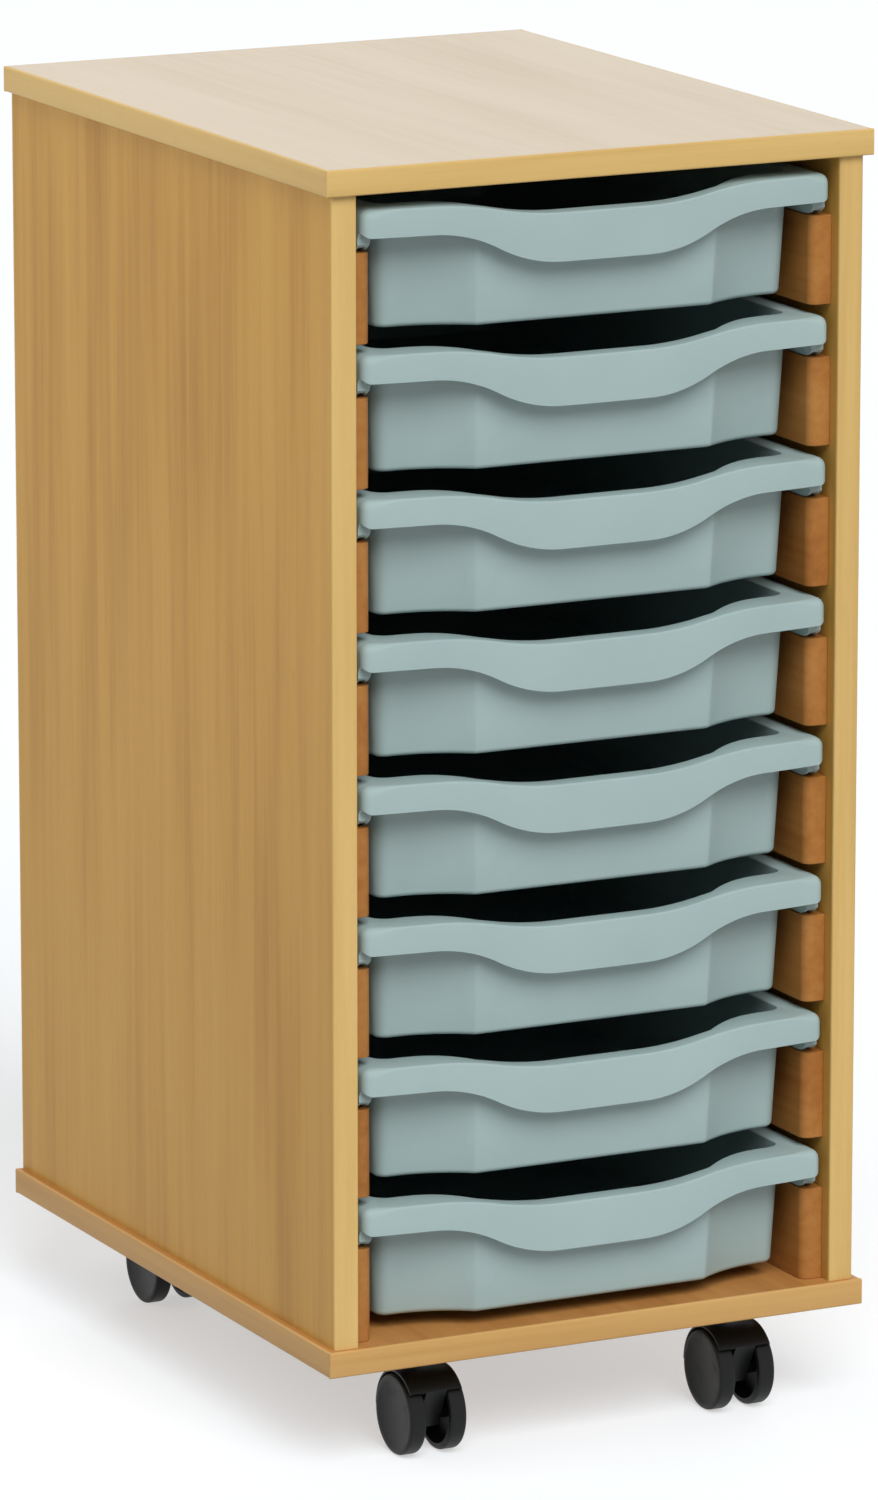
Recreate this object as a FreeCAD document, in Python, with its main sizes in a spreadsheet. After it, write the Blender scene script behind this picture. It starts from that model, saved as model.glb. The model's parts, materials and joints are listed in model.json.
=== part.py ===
import FreeCAD, Part
import os
import Sketcher

# Classroom tray storage unit: a beech-faced cabinet on four twin-wheel castors, with runner
# blocks on its side panels that carry one column of shallow moulded trays.
# Millimetres. +Z is up, the front faces -Y and the trays pull out that way. The origin is
# the middle of the unit's outer box, on the floor.

doc = FreeCAD.newDocument("TrayStorageUnit")
sheet = doc.addObject("Spreadsheet::Sheet", "Sizes")

# Driving sizes: name, size (millimetres, degrees or a count), what it is. The trays are a
# standard size, so they set the size of the cabinet round them.
SIZES = (
    ("tray_count", 8, "trays in the column"),
    ("tray_width", 312, "tray across its rim"),
    ("tray_length", 427, "tray rim, front to back, at its ends"),
    ("tray_height", 75, "tray rim top above its underside"),
    ("tray_wall", 2, "wall of the moulding"),
    ("rim_corner", 6, "radius of the rim's corners, seen from above"),
    ("rim_bevel", 2.4, "bevelled upper edge along the sides of the rim"),
    ("lip_round", 1.2, "rounded upper edge of the lip"),
    ("rail_inset", 8, "tray rail in from the front and back ends of the rim"),
    ("rail_depth", 26, "tray rail underside below the rim top"),
    ("rail_width", 12.5, "tray rail at its top"),
    ("rail_slant", 4.5, "tray rail narrower at its foot"),
    ("skirt_depth", 17, "height of the rim's skirt at the sides, the back and the lip ends"),
    ("lip_bow", 10, "middle of the lip forward of its ends"),
    ("lip_rise", 8.5, "dip of the lip's upper edge in the middle"),
    ("lip_drop", 21, "dip of the lip's lower edge in the middle"),
    ("wave_outer", 112, "where the lip starts to dip, from the middle"),
    ("wave_inner", 29, "where the lip has dipped fully, from the middle"),
    ("tub_side_inset", 20, "tub floor in from the side of the rim"),
    ("tub_back_setback", 12, "tub floor in from the back of the rim"),
    ("tub_draft", 3.5, "slope of the tub walls, in degrees"),
    ("bay_width", 157, "flat middle of the tub front, between its creases"),
    ("bay_setback", 6.5, "flat middle of the tub front, behind the rim ends"),
    ("corner_setback", 23, "corners of the tub front, behind the rim ends"),
    ("crease_round", 4, "radius of the creases in the tub's front"),
    ("tub_corner", 8, "radius of the tub's front corners"),
    ("tub_back_corner", 14, "radius of the tub's back corners"),
    ("tub_foot_round", 3, "rounded edge round the tub's underside"),
    ("tray_play", 0.3, "tray rails above the runner blocks"),
    ("tray_recess", 1.5, "tray rim ends behind the side panel's front"),
    ("tray_side_gap", 5, "side panel to the tray rim"),
    ("tray_back_gap", 18.5, "tray rim to the back panel"),
    ("tray_spacing", 11.5, "rim top of a tray to the underside of the tray above"),
    ("tray_top_gap", 10.2, "rim top of the highest tray to the top panel"),
    ("tray_floor_gap", 9.3, "base to the underside of the lowest tray"),
    ("board", 16, "thickness of the faced boards"),
    ("edging", 2, "thickness of the edge strips"),
    ("edging_round", 1.2, "rounded outer corners of the edge strips"),
    ("side_overhang", 5, "top and base past each side panel"),
    ("side_setback", 4, "side panel front behind the front of top and base"),
    ("back_thickness", 6, "back panel"),
    ("back_recess", 10, "back panel ahead of the rear edges"),
    ("back_groove", 7, "depth of the groove that holds the back panel"),
    ("back_play", 0.5, "back panel short of the bottom of its groove"),
    ("dowel_diameter", 8, "panel dowels"),
    ("dowel_length", 30, "panel dowels"),
    ("dowel_in_face", 10, "length of a dowel in the face of top or base"),
    ("dowel_play", 0.2, "dowel hole wider than its dowel, and deeper in a side panel"),
    ("dowel_end_inset", 60, "outer dowels in from the side panel's front and back"),
    ("runner_lap", 1, "runner block past the inner edge of the rail's foot"),
    ("runner_setback", 9.5, "runner block behind the side panel's front"),
    ("runner_back_gap", 7.5, "runner block to the back panel"),
    ("runner_round", 6, "rounded inner front edge of a runner block"),
    ("groove_gap", 5.7, "rim top of a tray to the runner block above it"),
    ("castor_side_inset", 76, "castor pin in from the side of the base"),
    ("castor_end_inset", 50, "castor pin in from the front or back of the base"),
    ("castor_trail", 19, "wheel axle off the castor pin"),
    ("wheel_diameter", 50, "castor wheel"),
    ("wheel_width", 11, "castor wheel"),
    ("wheel_round", 2, "rounded edges of the tread"),
    ("wheel_rim", 4, "radial thickness of the wheel's rim"),
    ("wheel_disc", 2.5, "thickness of the wheel's outer disc at its edge"),
    ("wheel_dish", 0.6, "hollow of the wheel's outer face"),
    ("bore_floor", 3, "closed end of a castor wheel's bore"),
    ("hub_diameter", 12, "hub of a castor wheel"),
    ("axle_diameter", 6, "castor axle"),
    ("axle_play", 0.15, "wheel bore wider than the axle"),
    ("tip_play", 0.4, "bores past the ends of the axle and the castor pin"),
    ("boss_diameter", 15, "castor housing round its pin"),
    ("boss_play", 0.5, "boss to the wheel at each side of it"),
    ("boss_foot", 5, "underside of the boss above the axle"),
    ("boss_floor", 2.6, "closed end of the boss"),
    ("boss_rise", 6.3, "top of the boss above the hood"),
    ("pin_diameter", 8, "castor pin"),
    ("pin_play", 0.15, "housing bore wider than the castor pin"),
    ("pin_chamfer", 1, "chamfer at the foot of the castor pin"),
    ("collar_diameter", 14, "collar of the castor pin"),
    ("collar_height", 1.2, "collar of the castor pin"),
    ("collar_play", 0.3, "housing below the collar"),
    ("web_play", 1, "castor housing's web to the wheel at each side of it"),
    ("web_foot", 8, "castor housing below the axle"),
    ("hood_inset", 1.5, "castor hood short of the outer face of each wheel"),
    ("hood_wall", 2, "castor hood"),
    ("hood_play", 1.2, "castor hood round the wheels"),
    ("hood_round", 1.5, "rounded shoulders of the castor hood"),
    ("hood_lift", 40, "hood's edge over the trailing side of the wheels, up from the axle, in degrees"),
    ("plate_size", 42, "castor top plate"),
    ("plate_thickness", 2, "castor top plate"),
    ("plate_corner", 5, "rounded corners of the castor top plate"),
    ("plate_hole_inset", 6, "screw holes in from the edges of the castor top plate"),
    ("screw_diameter", 4, "castor screws"),
    ("screw_length", 12, "castor screws in the board"),
    ("screw_head", 8, "castor screw heads"),
    ("screw_head_height", 2.4, "castor screw heads"),
    ("screw_play", 0.2, "pilot hole wider than its screw, and deeper"),
    ("plate_hole_play", 0.6, "screw hole of the castor top plate wider than its screw"),
)

# Sizes and places that follow from them.
DERIVED = (
    ("wheel_radius", "wheel_diameter / 2"),
    ("wheel_gap", "boss_diameter + 2 * boss_play"),
    ("web_width", "wheel_gap - 2 * web_play"),
    ("hood_width", "wheel_gap + 2 * (wheel_width - hood_inset)"),
    ("hood_inner", "wheel_radius + hood_play"),
    ("hood_outer", "hood_inner + hood_wall"),
    ("boss_top", "hood_outer + boss_rise"),
    ("bore_depth", "wheel_width - bore_floor"),
    ("axle_length", "wheel_gap + 2 * (bore_depth - tip_play)"),
    ("castor_height", "wheel_radius + boss_top + collar_play + collar_height + plate_thickness"),
    ("pin_foot", "wheel_radius + boss_foot + boss_floor + tip_play"),
    ("pin_length", "castor_height - plate_thickness - pin_foot"),
    ("plate_pitch", "plate_size - 2 * plate_hole_inset"),
    ("plate_hole", "screw_diameter + plate_hole_play"),
    ("interior_width", "tray_width + 2 * tray_side_gap"),
    ("unit_width", "interior_width + 2 * board + 2 * side_overhang"),
    ("back_setback", "back_recess + back_thickness"),
    ("unit_depth", "side_setback + tray_recess + tray_length + tray_back_gap + back_setback"),
    ("lip_proud", "lip_bow - side_setback - tray_recess"),
    ("front_edge", "(lip_proud - unit_depth) / 2"),
    ("back_edge", "front_edge + unit_depth"),
    ("side_front", "front_edge + side_setback"),
    ("side_depth", "unit_depth - side_setback"),
    ("tray_pitch", "tray_height + tray_spacing"),
    ("groove_height", "rail_depth + tray_play + groove_gap"),
    ("runner_height", "tray_pitch - groove_height"),
    ("first_runner_height", "tray_floor_gap + tray_height - rail_depth - tray_play"),
    ("base_under", "castor_height"),
    ("base_upper", "base_under + board"),
    ("first_seat", "base_upper + first_runner_height"),
    ("last_seat", "first_seat + (tray_count - 1) * tray_pitch"),
    ("top_under", "last_seat + tray_play + rail_depth + tray_top_gap"),
    ("side_height", "top_under - base_upper"),
    ("runner_front", "side_front + runner_setback"),
    ("runner_back", "back_edge - back_setback - runner_back_gap"),
    ("runner_thickness", "tray_side_gap + rail_width - rail_slant + runner_lap"),
    ("rim_front", "side_front + tray_recess"),
    ("rim_half", "tray_width / 2"),
    ("tub_half", "rim_half - tub_side_inset"),
    ("bay_half", "bay_width / 2"),
    ("sweep_run", "tub_half - tub_corner - bay_half"),
    ("sweep_rise", "corner_setback - bay_setback"),
    ("sweep_radius", "(sweep_run ^ 2 + sweep_rise ^ 2) / (2 * sweep_rise)"),
    ("crease_radii", "sweep_radius + crease_round"),
    ("crease_rise", "crease_radii - sweep_rise"),
    ("crease_run", "sqrt(crease_radii ^ 2 - crease_rise ^ 2)"),
    ("wave_run", "wave_outer - wave_inner"),
    ("wave_middle", "(wave_outer + wave_inner) / 2"),
    ("lip_upper_radius", "(wave_run ^ 2 + lip_rise ^ 2) / (4 * lip_rise)"),
    ("lip_lower_radius", "(wave_run ^ 2 + lip_drop ^ 2) / (4 * lip_drop)"),
    ("lip_end_half", "rim_half - rim_corner"),
    ("front_zone", "2 * corner_setback"),
    ("bow_radius", "(lip_end_half ^ 2 + lip_bow ^ 2) / (2 * lip_bow)"),
)

row = 0
for name, size, meaning in SIZES:
    row += 1
    sheet.set(f"A{row}", name)
    sheet.set(f"B{row}", str(size))
    sheet.set(f"C{row}", meaning)
    sheet.setAlias(f"B{row}", name)
for name, formula in DERIVED:
    row += 1
    sheet.set(f"A{row}", name)
    sheet.set(f"B{row}", "=" + formula)
    sheet.setAlias(f"B{row}", name)
doc.recompute()

NAMES = [entry[0] for entry in SIZES + DERIVED]
TOUCH = 0.001
sub_parts = []


def bound(formula):
    """The formula with each sheet name written as the other objects see it."""
    words = []
    word = ""
    for letter in str(formula) + " ":
        if letter.isalnum() or letter == "_":
            word += letter
        else:
            words.append("Sizes." + word if word in NAMES else word)
            words.append(letter)
            word = ""
    return "".join(words).strip()


def value(formula):
    """The number that a formula of sheet names gives now."""
    return float(sheet.evalExpression(str(formula)))


def bind(thing, **formulas):
    """Ties properties of an object to formulas of sheet names."""
    for name, formula in formulas.items():
        thing.setExpression(name.replace("__", "."), bound(formula))


def place(thing, x="0", y="0", z="0"):
    """Ties an object's position to formulas of sheet names."""
    bind(thing, Placement__Base__x=x, Placement__Base__y=y, Placement__Base__z=z)


def new_body(label, grouped=False):
    """A sub-part: a body whose label names its file, unless it joins a group."""
    body = doc.addObject("PartDesign::Body", label)
    body.Label = label
    if not grouped:
        sub_parts.append(body)
    return body


def origin_plane(body, role):
    """One of the body's own origin planes."""
    return next(item for item in body.Origin.OriginFeatures if item.Role == role)


def new_sketch(body, role, height="0"):
    """A sketch on one of the body's own origin planes, raised along the plane's normal."""
    sketch = body.newObject("Sketcher::SketchObject", body.Label + "_sketch")
    sketch.AttachmentSupport = [(origin_plane(body, role), "")]
    sketch.MapMode = "FlatFace"
    sketch.setExpression("AttachmentOffset.Base.z", bound(height))
    return sketch


def dimension(sketch, kind, where, formula):
    """Adds a dimension and ties it to its formula. A zero puts the point on an axis."""
    if value(formula) == 0 and kind in ("DistanceX", "DistanceY"):
        axis = -2 if kind == "DistanceX" else -1
        sketch.addConstraint(Sketcher.Constraint("PointOnObject", *where, axis))
        return
    ends = where if kind == "Radius" else (-1, 1) + where
    number = sketch.addConstraint(Sketcher.Constraint(kind, *ends, value(formula)))
    sketch.setExpression(f"Constraints[{number}]", bound(formula))


def circle(sketch, x, y, radius):
    """A dimensioned circle."""
    centre = FreeCAD.Vector(value(x), value(y), 0)
    up = FreeCAD.Vector(0, 0, 1)
    edge = sketch.addGeometry(Part.Circle(centre, up, value(radius)))
    dimension(sketch, "DistanceX", (edge, 3), x)
    dimension(sketch, "DistanceY", (edge, 3), y)
    dimension(sketch, "Radius", (edge,), radius)


def arc_between(start, end, radius, left):
    """The arc under half a turn from start to end, turning left or right on its way."""
    chord = end - start
    half = chord.Length / 2
    reach = max(radius * radius - half * half, 0) ** 0.5
    side = FreeCAD.Vector(-chord.y, chord.x, 0).normalize()
    centre = start + chord * 0.5 + side * (reach if left else -reach)
    outwards = start + chord * 0.5 - centre
    if outwards.Length < 1e-6:
        outwards = -side if left else side
    middle = centre + outwards.normalize() * radius
    return Part.Arc(start, middle, end)


def loop(sketch, *corners):
    """A closed, fully dimensioned outline. A corner is (x, y), reached by a straight line,
    or (x, y, radius, "left" or "right"), reached by an arc that turns that way."""
    points = [FreeCAD.Vector(value(corner[0]), value(corner[1]), 0) for corner in corners]
    edges = []
    starts = []
    for number, corner in enumerate(corners):
        start = points[number - 1]
        end = points[number]
        if len(corner) == 2:
            edges.append(sketch.addGeometry(Part.LineSegment(start, end)))
            starts.append(1)
        else:
            arc = arc_between(start, end, value(corner[2]), corner[3] == "left")
            edges.append(sketch.addGeometry(arc))
            # A sketch keeps every arc counter-clockwise, so one that turns right is held
            # by its other end.
            starts.append(1 if corner[3] == "left" else 2)
    for number, corner in enumerate(corners):
        after = (number + 1) % len(corners)
        end_point = (edges[number], 3 - starts[number])
        join = Sketcher.Constraint("Coincident", *end_point, edges[after], starts[after])
        sketch.addConstraint(join)
        dimension(sketch, "DistanceX", end_point, corner[0])
        dimension(sketch, "DistanceY", end_point, corner[1])
        if len(corner) == 4:
            dimension(sketch, "Radius", (edges[number],), corner[2])


def rectangle(sketch, left, right, low, high):
    """A dimensioned rectangle."""
    loop(sketch, (left, low), (right, low), (right, high), (left, high))


def feature(body, kind, sketch, length, **formulas):
    """A pad or pocket of a sketch, with its length tied to a formula."""
    made = body.newObject("PartDesign::" + kind, body.Label + "_" + kind.lower())
    made.Profile = sketch
    bind(made, Length=length, **formulas)
    body.Tip = made
    return made


def both_ways(made):
    """Lets a pad or pocket run half its length to each side of its sketch."""
    made.SideType = "Symmetric"
    return made


def reverse(made):
    """Turns a pad or pocket the other way."""
    made.Reversed = True
    return made


def group(label, members):
    """A sub-part made of several like solids."""
    made = doc.addObject("Part::Compound", label)
    made.Label = label
    made.Links = members
    sub_parts.append(made)
    return made


# --- top and base: faced boards, lipped all round with edge strips -------------------------

def lipped_board(label, under, inner_face):
    """A top or base board on its underside's height. Its inner face, at another height, has
    the groove for the back panel and the dowel holes."""
    body = new_body(label)
    outline = new_sketch(body, "XY_Plane", under)
    rectangle(outline, "edging - unit_width / 2", "unit_width / 2 - edging",
              "front_edge + edging", "back_edge - edging")
    feature(body, "Pad", outline, "board")
    groove = new_sketch(body, "XY_Plane", inner_face)
    rectangle(groove, "-interior_width / 2 - back_groove", "interior_width / 2 + back_groove",
              "back_edge - back_setback", "back_edge - back_recess")
    cuts = [feature(body, "Pocket", groove, "back_groove")]
    holes = new_sketch(body, "XY_Plane", inner_face)
    for x in ("-(interior_width + board) / 2", "(interior_width + board) / 2"):
        for y in DOWEL_ROWS:
            circle(holes, x, y, "(dowel_diameter + dowel_play) / 2")
    cuts.append(feature(body, "Pocket", holes, "dowel_in_face"))
    if inner_face == under:
        for cut in cuts:
            reverse(cut)
    return body


DOWEL_ROWS = (
    "side_front + dowel_end_inset",
    "side_front + side_depth / 2",
    "back_edge - dowel_end_inset",
)
lipped_board("top_panel", "top_under", "top_under")
base_panel = lipped_board("base_panel", "base_under", "base_upper")

CASTORS = (
    ("front_left", "castor_side_inset - unit_width / 2", "front_edge + castor_end_inset"),
    ("front_right", "unit_width / 2 - castor_side_inset", "front_edge + castor_end_inset"),
    ("back_left", "castor_side_inset - unit_width / 2", "back_edge - castor_end_inset"),
    ("back_right", "unit_width / 2 - castor_side_inset", "back_edge - castor_end_inset"),
)
PLATE_HOLES = (("-", "-"), ("+", "-"), ("+", "+"), ("-", "+"))

pilot_holes = new_sketch(base_panel, "XY_Plane", "base_under")
for corner, castor_x, castor_y in CASTORS:
    for x_sign, y_sign in PLATE_HOLES:
        circle(pilot_holes, f"{castor_x} {x_sign} plate_pitch / 2",
               f"{castor_y} {y_sign} plate_pitch / 2", "(screw_diameter + screw_play) / 2")
reverse(feature(base_panel, "Pocket", pilot_holes, "screw_length + screw_play"))


def edge_strip(label, role, start, length, seat, face, low, high, turned):
    """An edge strip. Its section, in one of the origin planes, has square corners on its seat
    and rounded ones on its face. A section with its face towards the plane's X is given as
    it is, and one with its face towards Y is turned."""
    body = new_body(label, grouped=True)
    section = new_sketch(body, role, start)
    inwards = "-" if value(face) > value(seat) else "+"
    quick = "right" if (inwards == "-") != turned else "left"
    near = f"({face} {inwards} edging_round)"
    corners = [
        (seat, low),
        (seat, high),
        (near, high),
        (face, f"({high} - edging_round)", "edging_round", quick),
        (face, f"({low} + edging_round)"),
        (near, low, "edging_round", quick),
    ]
    if turned:
        corners = [(corner[1], corner[0], *corner[2:]) for corner in corners]
    loop(section, *corners)
    return body, feature(body, "Pad", section, length)


for label, height in (("top_edging", "top_under"), ("base_edging", "base_under")):
    upper = f"({height} + board)"
    strips = []
    for name, face, inside in (("front", "front_edge", "+"), ("back", "back_edge", "-")):
        strip, pad = edge_strip(f"{label}_{name}", "YZ_Plane", "0", "unit_width",
                                f"({face} {inside} edging)", face, height, upper, False)
        both_ways(pad)
        strips.append(strip)
    for name, side in (("left", "-"), ("right", "")):
        strip, pad = edge_strip(f"{label}_{name}", "XZ_Plane", "-front_edge - edging",
                                "unit_depth - 2 * edging", f"{side}(unit_width / 2 - edging)",
                                f"{side}(unit_width / 2)", height, upper, False)
        reverse(pad)
        strips.append(strip)
    group(label, strips)


# --- side panels: faced boards with edge strips up their front and back edges --------------

def side_panel(label, inner_x, outer_x, towards_inside):
    """A side panel, with its groove for the back panel and dowel holes in both ends."""
    body = new_body(label)
    outline = new_sketch(body, "XY_Plane", "base_upper")
    rectangle(outline, inner_x, outer_x, "side_front + edging", "back_edge - edging")
    feature(body, "Pad", outline, "side_height")
    groove = new_sketch(body, "XY_Plane", "base_upper")
    rectangle(groove, inner_x, f"{inner_x} {towards_inside} back_groove",
              "back_edge - back_setback", "back_edge - back_recess")
    reverse(feature(body, "Pocket", groove, "side_height"))
    depth = "dowel_length - dowel_in_face + dowel_play"
    for height, upwards in (("base_upper", True), ("top_under", False)):
        holes = new_sketch(body, "XY_Plane", height)
        for y in DOWEL_ROWS:
            circle(holes, f"({inner_x} + {outer_x}) / 2", y, "(dowel_diameter + dowel_play) / 2")
        bores = feature(body, "Pocket", holes, depth)
        if upwards:
            reverse(bores)


side_panel("left_side_panel", "(-interior_width / 2)", "(-interior_width / 2 - board)", "-")
side_panel("right_side_panel", "(interior_width / 2)", "(interior_width / 2 + board)", "+")

for side, low, high in (("left", "(-interior_width / 2 - board)", "(-interior_width / 2)"),
                        ("right", "(interior_width / 2)", "(interior_width / 2 + board)")):
    strips = []
    for name, face, inside in (("front", "side_front", "+"), ("back", "back_edge", "-")):
        strip, pad = edge_strip(f"{side}_side_edging_{name}", "XY_Plane", "base_upper",
                                "side_height", f"({face} {inside} edging)", face,
                                low, high, True)
        strips.append(strip)
    group(f"{side}_side_edging", strips)

# --- back panel: a thin faced board held in grooves all round ------------------------------

back_panel = new_body("back_panel")
outline = new_sketch(back_panel, "XY_Plane", "base_upper - back_groove + back_play")
rectangle(outline, "-interior_width / 2 - back_groove + back_play",
          "interior_width / 2 + back_groove - back_play",
          "back_edge - back_setback", "back_edge - back_recess")
feature(back_panel, "Pad", outline, "side_height + 2 * back_groove - 2 * back_play")

# --- dowels: three in each joint of a side panel with the top or the base ------------------

dowels = []
for x in ("-(interior_width + board) / 2", "(interior_width + board) / 2"):
    for y in DOWEL_ROWS:
        for z in ("base_upper - dowel_in_face", "top_under + dowel_in_face - dowel_length"):
            dowel = doc.addObject("Part::Cylinder", f"dowel_{len(dowels) + 1}")
            bind(dowel, Radius="dowel_diameter / 2", Height="dowel_length")
            place(dowel, x, y, z)
            dowels.append(dowel)
group("panel_dowels", dowels)


# --- runner blocks: one per tray on each side panel, with a space above each for the rail --

def runner_block(label, side, bottom, height):
    """A runner block, rounded on its inner front edge. side is -1 at the left."""
    body = new_body(label)
    outer = f"{side} * interior_width / 2"
    inner = f"{side} * (interior_width / 2 - runner_thickness)"
    rounded = f"{side} * (interior_width / 2 - runner_thickness + runner_round)"
    outline = new_sketch(body, "XY_Plane", bottom)
    loop(outline,
         (outer, "runner_front"),
         (outer, "runner_back"),
         (inner, "runner_back"),
         (inner, "runner_front + runner_round"),
         (rounded, "runner_front", "runner_round", "left" if side > 0 else "right"))
    feature(body, "Pad", outline, height)


tray_count = int(value("tray_count"))
for side, hand in ((-1, "left"), (1, "right")):
    for number in range(1, tray_count + 1):
        rank = tray_count - number
        if rank == 0:
            runner_block(f"{hand}_runner_{number}", side, "base_upper", "first_runner_height")
        else:
            runner_block(f"{hand}_runner_{number}", side,
                         f"first_seat + {rank} * tray_pitch - runner_height", "runner_height")


# --- trays: one-piece mouldings with a tub, a skirted rim, two rails and a waved lip -------

def tub_outline(sketch, grow):
    """The tub seen from above, grown outwards all round. Its front is a flat bay between
    two rounded creases, with hollow sweeps back to the corners."""
    half = f"(tub_half + {grow})"
    arc_end = "(tub_half - tub_corner)"
    corner_y = f"(corner_setback - {grow})"
    bay_x = f"({arc_end} - crease_run)"
    bay_y = f"(bay_setback - {grow})"
    crease = f"(crease_round + {grow})"
    sweep = f"(sweep_radius - {grow})"
    sweep_x = f"({arc_end} - crease_run * {sweep} / crease_radii)"
    sweep_y = f"(corner_setback - sweep_radius + crease_rise * {sweep} / crease_radii)"
    front = f"(tub_corner + {grow})"
    back = f"(tub_back_corner + {grow})"
    back_y = f"(tray_length - tub_back_setback + {grow})"
    back_x = "(tub_half - tub_back_corner)"
    loop(sketch,
         (bay_x, bay_y),
         (sweep_x, sweep_y, crease, "left"),
         (arc_end, corner_y, sweep, "right"),
         (half, f"{corner_y} + {front}", front, "left"),
         (half, f"{back_y} - {back}"),
         (back_x, back_y, back, "left"),
         (f"-{back_x}", back_y),
         (f"-{half}", f"{back_y} - {back}", back, "left"),
         (f"-{half}", f"{corner_y} + {front}"),
         (f"-{arc_end}", corner_y, front, "left"),
         (f"-{sweep_x}", sweep_y, sweep, "right"),
         (f"-{bay_x}", bay_y, crease, "left"))


def rim_outline(sketch, inset):
    """The rim seen from above, drawn in by an inset: a bowed front and rounded corners."""
    half = f"(rim_half - {inset})"
    end = "lip_end_half"
    corner = f"(rim_corner - {inset})"
    far = f"(tray_length - {inset})"
    loop(sketch,
         (end, inset, f"(bow_radius - {inset})", "left"),
         (half, "rim_corner", corner, "left"),
         (half, "tray_length - rim_corner"),
         (end, far, corner, "left"),
         (f"-{end}", far),
         (f"-{half}", "tray_length - rim_corner", corner, "left"),
         (f"-{half}", "rim_corner"),
         (f"-{end}", inset, corner, "left"))


def wave(outer_z, inner_z, radius):
    """A waved edge from left to right: level at its ends, dipped between."""
    middle_z = f"({outer_z} + {inner_z}) / 2"
    return [
        ("-tray_width", outer_z),
        ("-wave_outer", outer_z),
        ("-wave_middle", middle_z, radius, "right"),
        ("-wave_inner", inner_z, radius, "left"),
        ("wave_inner", inner_z),
        ("wave_middle", middle_z, radius, "left"),
        ("wave_outer", outer_z, radius, "right"),
        ("tray_width", outer_z),
    ]


def backwards(corners):
    """The same edge walked the other way."""
    turned = {"left": "right", "right": "left"}
    walked = []
    for number in range(len(corners) - 1, -1, -1):
        arrival = corners[number + 1][2:] if number + 1 < len(corners) else ()
        way = (arrival[0], turned[arrival[1]]) if arrival else ()
        walked.append(corners[number][:2] + way)
    return walked


def tub_solid(label, grow, foot, depth):
    """The tub or its inside, from a foot height up, with upright walls as yet."""
    body = new_body(label, grouped=True)
    outline = new_sketch(body, "XY_Plane", foot)
    tub_outline(outline, grow)
    feature(body, "Pad", outline, depth)
    return body


def draft(body):
    """Slopes all walls of a tub solid outwards, up from the height of the tray's underside."""
    solid = body.Tip
    walls = []
    for number, face in enumerate(solid.Shape.Faces, 1):
        heights = [corner.Z for corner in face.Vertexes]
        if max(heights) - min(heights) > TOUCH:
            walls.append(f"Face{number}")
    made = body.newObject("PartDesign::Draft", body.Label + "_draft")
    made.Base = (solid, walls)
    made.NeutralPlane = (origin_plane(body, "XY_Plane"), [""])
    made.Reversed = True
    bind(made, Angle="tub_draft")
    body.Tip = made


def combine(body, kind, tool):
    """Fuses another body to a body, or cuts it away."""
    made = body.newObject("PartDesign::Boolean", f"{body.Label}_{kind.lower()}")
    made.Type = kind
    made.setObjects([tool])
    body.Tip = made


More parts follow.
